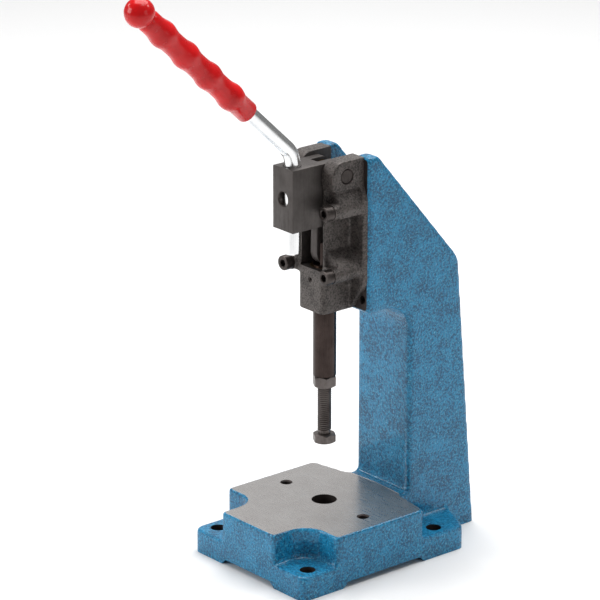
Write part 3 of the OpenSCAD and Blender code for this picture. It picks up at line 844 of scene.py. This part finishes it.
def makeLink():
    t = toggleLink
    part = bmesh.new()
    for radius, height in ((t["footR"], t["footZ"]), (t["headR"], t["headZ"])):
        for x in (-t["half"], t["half"]):
            ring = bmesh.ops.create_circle(part, segments=72, radius=radius)["verts"]
            bmesh.ops.rotate(part, verts=ring, cent=(0, 0, 0), matrix=Matrix.Rotation(math.pi / 2, 3, "Y"))
            bmesh.ops.translate(part, verts=ring, vec=(x, 0, height))
    hull = bmesh.ops.convex_hull(part, input=part.verts[:])
    inner = [v for v in hull["geom_interior"] + hull["geom_unused"] if isinstance(v, bmesh.types.BMVert)]
    bmesh.ops.delete(part, geom=list(set(inner)), context="VERTS")
    bmesh.ops.dissolve_limit(part, angle_limit=math.radians(1), verts=part.verts[:], edges=part.edges[:])
    facing(part)
    piece = thing("toggleLink", softEdges(part, t["edge"], 60), leverSteel)
    carve(piece, bar(t["footBore"], -9, 9, (0, 0, t["footZ"]), "X"), leverSteel)
    carve(piece, bar(t["headBore"], -9, 9, (0, 0, t["headZ"]), "X"), leverSteel)
    return finishPiece(piece, "link", "lever_steel", "toggle_link")


makeLink()

# ram with a fork at its head and a threaded bore at its foot
ram = {"radius": 10.0, "chamfer": 0.9, "slotX": 4.5, "slotFloor": 263.0, "pinR": 4.0, "bore": 6.03,
       "boreTop": 231.5}


def makeRam():
    r = ram
    low, high = lowHigh("ram")
    body = bar(r["radius"], low[2], high[2], (0, 0, 0), "Z", r["chamfer"], 96)
    piece = thing("ramBar", body, groundSteel)
    carve(piece, block((-r["slotX"], -20, r["slotFloor"]), (r["slotX"], 20, high[2] + 4)), groundSteel)
    carve(piece, bar(r["pinR"], -20, 20, (0, 0, toggleLink["footZ"]), "X", steps=48), groundSteel)
    carve(piece, bar(r["bore"], low[2] - 4, r["boreTop"], (0, 0, 0), "Z"), groundSteel)
    return finishPiece(piece, "ram", "ground_steel", "ram")


# spindle screw and lock nut
spindle = {"radius": 5.98, "root": 4.95, "pitch": 1.75, "flats": 18.0, "head": 7.5, "neck": 3.2,
           "cornerTurn": 30.0, "nutBore": 6.03, "nutMouth": 6.8}


def turnedHex(name, low, high):
    # a hexagon whose corners are turned off at both ends
    s = spindle
    corner, face = s["flats"] / math.sqrt(3), s["flats"] / 2 - 0.3
    rise = (corner - face) * math.tan(math.radians(s["cornerTurn"]))
    piece = thing(name, hexBar(s["flats"], low, high, (0, 0, 0), "Z", 0), spindleSteel)
    blank = lathe([(0, low), (face, low), (corner + 0.01, low + rise), (corner + 0.01, high - rise),
                   (face, high), (0, high)], steps=120)
    carve(piece, blank, spindleSteel, how="INTERSECT")
    return piece


def makeSpindle():
    s = spindle
    low, high = lowHigh("spindle_screw")
    headTop = low[2] + s["head"]
    threadFrom, outer = headTop + s["neck"], s["radius"] + 0.1
    piece = turnedHex("spindleScrew", low[2], headTop)
    shank = thing("shank", helix(s["root"], s["radius"], s["pitch"], threadFrom, high[2]), spindleSteel)
    blank = lathe([(0, headTop - 1), (s["radius"], headTop - 1), (s["radius"], threadFrom),
                   (outer, threadFrom), (outer, high[2] - 1.2), (s["root"] - 0.4, high[2]), (0, high[2])])
    carve(shank, blank, spindleSteel, how="INTERSECT")
    neck = bar(s["root"] + 0.3, headTop - 1, threadFrom + 1, (0, 0, 0), "Z")
    carve(shank, neck, spindleSteel, how="UNION")
    whole = bmesh.new()
    whole.from_mesh(shank.data)
    bpy.data.objects.remove(shank)
    carve(piece, whole, spindleSteel, how="UNION")
    return finishPiece(piece, "spindle", "dark_steel", "spindle_screw")


def makeLockNut():
    s = spindle
    low, high = lowHigh("lock_nut")
    bottom, top, bore, mouth = low[2], high[2], s["nutBore"], s["nutMouth"]
    piece = turnedHex("lockNut", bottom, top)
    hole = lathe([(0, bottom - 2), (mouth, bottom - 2), (mouth, bottom), (bore, bottom + 0.8),
                  (bore, top - 0.8), (mouth, top), (mouth, top + 2), (0, top + 2)])
    carve(piece, hole, spindleSteel)
    return finishPiece(piece, "nut", "dark_steel", "lock_nut")


makeRam()
makeSpindle()
makeLockNut()

# bushes and link pins keep their CAD shape and take a finish
keptNodes = {"guide_bush_lower": bronze, "guide_bush_upper": bronze, "lever_bush_left": bronze,
             "lever_bush_right": bronze, "link_bush": bronze, "link_pin_upper": groundSteel,
             "link_pin_lower": groundSteel}
for node, finish in keptNodes.items():
    for place in nodes[node].material_slots:
        place.material = finish
print("bushes and pins finished")

# floor, light and camera, in metres; a light is its place, target, size and power
studio = {"azimuth": 49.9, "elevation": 19.1, "lens": 210.0, "sensor": 36.0, "distance": 3.0413,
          "sideways": -0.0209, "upward": 0.21745, "floorTone": 0.86, "floorHalf": 12000.0, "sky": 0.21,
          "lights": {"key": ((-1.4, -2.4, 1.2), (0, 0, 0.22), (1.4, 1.4), 34),
                     "side": ((2.6, 0.4, 1.0), (0, 0, 0.2), (1.0, 1.4), 5),
                     "behind": ((-2.3, 1.95, 1.05), (0, 0, 0.1), (1.9, 1.3), 4.3),
                     "above": ((-0.3, 0.5, 2.3), (0, 0, 0.2), (2.2, 2.2), 76),
                     "glintFront": ((-2.2, -1.0, 1.85), (0, 0, 0.1), (0.5, 0.5), 8),
                     "glintBack": ((1.0, 1.85, 2.2), (0, 0, 0.1), (0.5, 0.5), 8)}}


def makeFloor():
    part = bmesh.new()
    bmesh.ops.create_grid(part, x_segments=2, y_segments=2, size=studio["floorHalf"])
    material = bpy.data.materials.new("paleFloor")
    material.use_nodes = True
    shader = material.node_tree.nodes["Principled BSDF"]
    shader.inputs["Base Color"].default_value = (studio["floorTone"],) * 3 + (1,)
    shader.inputs["Roughness"].default_value = 0.9
    floor = thing("floor", part, material)
    floor.data.transform(Matrix.Scale(0.001, 4))


def makeLight(name, place, target, size, power):
    lamp = bpy.data.lights.new(name, "AREA")
    lamp.shape = "RECTANGLE"
    lamp.size, lamp.size_y = size
    lamp.energy = power
    holder = bpy.data.objects.new(name, lamp)
    holder.location = place
    holder.rotation_euler = (Vector(target) - Vector(place)).to_track_quat("-Z", "Y").to_euler()
    bpy.context.scene.collection.objects.link(holder)


def makeCamera():
    s = studio
    az, el = math.radians(s["azimuth"]), math.radians(s["elevation"])
    ahead = Vector((-math.sin(az) * math.cos(el), math.cos(az) * math.cos(el), -math.sin(el)))
    right = Vector((math.cos(az), math.sin(az), 0))
    up = right.cross(ahead)
    eye = bpy.data.cameras.new("camera")
    eye.lens = s["lens"]
    eye.sensor_width = s["sensor"]
    eye.clip_end = 60
    holder = bpy.data.objects.new("camera", eye)
    holder.location = -ahead * s["distance"] + right * s["sideways"] + up * s["upward"]
    holder.rotation_euler = ahead.to_track_quat("-Z", "Y").to_euler()
    bpy.context.scene.collection.objects.link(holder)
    bpy.context.scene.camera = holder


def makeStudio():
    makeFloor()
    for name, settings in studio["lights"].items():
        makeLight(name, *settings)
    world = bpy.data.worlds.new("studio")
    world.use_nodes = True
    sky = world.node_tree.nodes["Background"]
    sky.inputs["Color"].default_value = (1, 1, 1, 1)
    sky.inputs["Strength"].default_value = studio["sky"]
    bpy.context.scene.world = world
    bpy.context.scene.view_settings.view_transform = "Standard"
    makeCamera()


makeStudio()
print("studio ready")
